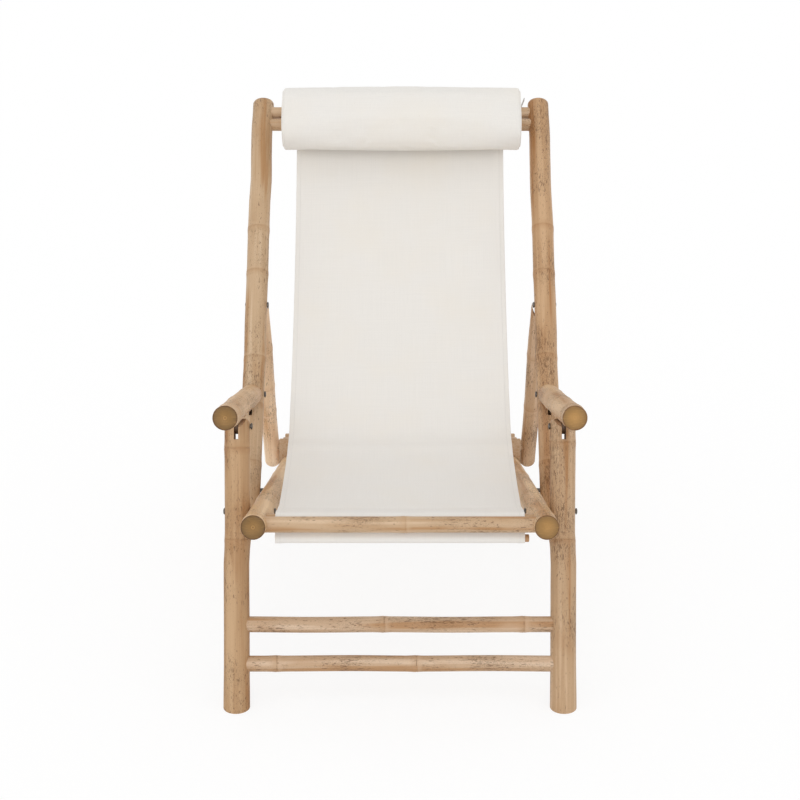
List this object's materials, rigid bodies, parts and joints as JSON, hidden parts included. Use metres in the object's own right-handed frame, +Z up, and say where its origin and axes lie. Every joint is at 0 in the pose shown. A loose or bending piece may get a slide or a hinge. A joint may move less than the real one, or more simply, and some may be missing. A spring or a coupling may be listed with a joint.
{
  "type": "folding recliner",
  "caption": "Bamboo folding recliner with a hanging canvas sling, head bolster, armrests and a back held by a prop in toothed racks.",
  "frame": {"origin": "on the floor, at the middle of the footprint's bounding box", "axes": "+Z up, the sitter faces -Y, +X to the right of someone looking at the front"},
  "size_m": [0.6116, 1.283, 0.8946],
  "materials": {
    "bamboo": "pale weathered bamboo culm, satin",
    "board": "sawn bamboo board and dowel, matt",
    "canvas": "off-white cotton canvas",
    "plate": "brown painted steel plate",
    "steel": "dark steel bolts and nuts"
  },
  "bodies": {
    "seat_frame": {"seat_rail_left": "bamboo", "seat_rail_right": "bamboo", "front_bar": "bamboo", "front_bar_inner": "bamboo", "floor_bar": "bamboo", "rack_left": "board", "rack_right": "board", "leg_bolt_left": "steel", "leg_bolt_right": "steel", "leg_bolt_nut_left": "steel", "leg_bolt_nut_right": "steel", "post_bolt_left": "steel", "post_bolt_right": "steel", "post_bolt_nut_left": "steel", "post_bolt_nut_right": "steel", "sling_seat": "canvas", "sling_rod_front": "board"},
    "back_frame": {"back_post_left": "bamboo", "back_post_right": "bamboo", "top_bar_lower": "bamboo", "top_bar_upper": "bamboo", "arm_bolt_left": "steel", "arm_bolt_right": "steel", "arm_bolt_nut_left": "steel", "arm_bolt_nut_right": "steel", "strut_bolt_left": "steel", "strut_bolt_right": "steel", "strut_bolt_nut_left": "steel", "strut_bolt_nut_right": "steel", "sling_back": "canvas", "sling_rod_top": "board", "pillow": "canvas", "pillow_loop_left": "canvas", "pillow_loop_right": "canvas"},
    "front_legs": {"leg_left": "bamboo", "leg_right": "bamboo", "leg_bar_lower": "bamboo", "leg_bar_upper": "bamboo", "slot_bolt_left": "steel", "slot_bolt_right": "steel", "slot_bolt_nut_left": "steel", "slot_bolt_nut_right": "steel"},
    "armrests": {"armrest_left": "bamboo", "armrest_right": "bamboo", "arm_plate_front_left": "plate", "arm_plate_front_right": "plate", "arm_plate_rear_left": "plate", "arm_plate_rear_right": "plate"},
    "prop": {"strut_left": "bamboo", "strut_right": "bamboo", "strut_plate_left": "plate", "strut_plate_right": "plate", "strut_bar": "bamboo"}
  },
  "joints": [
    {"name": "back_fold", "type": "hinge", "parent": "seat_frame", "child": "back_frame", "pos_m": [0, -0.19562, 0.2406], "axis": [-1, 0, 0], "range_deg": [0, 32]},
    {"name": "leg_fold", "type": "hinge", "parent": "seat_frame", "child": "front_legs", "pos_m": [0, -0.45772, 0.31329], "axis": [-1, 0, 0], "range_deg": [0, 34]},
    {"name": "armrest_fold", "type": "hinge", "parent": "back_frame", "child": "armrests", "pos_m": [0, -0.06085, 0.38015], "axis": [1, 0, 0], "range_deg": [0, 25.2]},
    {"name": "prop_swing", "type": "hinge", "parent": "back_frame", "child": "prop", "pos_m": [0, 0.07009, 0.51575], "axis": [1, 0, 0], "range_deg": [0, 78.5]}
  ],
  "couplings": [
    {"joint": "leg_fold", "follows": "back_fold", "ratio": 1.06},
    {"joint": "armrest_fold", "follows": "back_fold", "ratio": 0.785},
    {"joint": "prop_swing", "follows": "back_fold", "ratio": 2.45}
  ]
}
